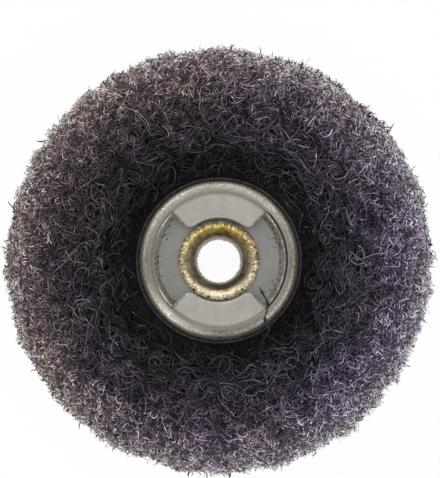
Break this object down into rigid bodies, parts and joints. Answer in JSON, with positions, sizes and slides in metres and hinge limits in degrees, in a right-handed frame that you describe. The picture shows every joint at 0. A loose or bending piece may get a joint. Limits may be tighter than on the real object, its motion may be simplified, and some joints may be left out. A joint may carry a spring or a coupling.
{
  "type": "sanding disc",
  "caption": "Round pad of abrasive nonwoven fleece, squeezed thin at its middle by a plated quick-lock hub with a bow-tie opening, a brass eyelet and a rear washer.",
  "frame": {"origin": "on the disc's axis, at the height of the surface that the disc lies on", "axes": "+Z along the axis, out of the hub's open face; +X towards one lobe of the bow-tie opening"},
  "size_m": [0.0257, 0.0257, 0.0108],
  "materials": {
    "fleece": "matte",
    "cap_plating": "satin",
    "cup_plating": "satin",
    "eyelet_brass": "satin",
    "washer_plating": "satin"
  },
  "bodies": {
    "root": {"fleece_disc": "fleece", "lock_cap": "cap_plating", "lock_cup": "cup_plating", "eyelet": "eyelet_brass", "rear_washer": "washer_plating"}
  },
  "joints": []
}
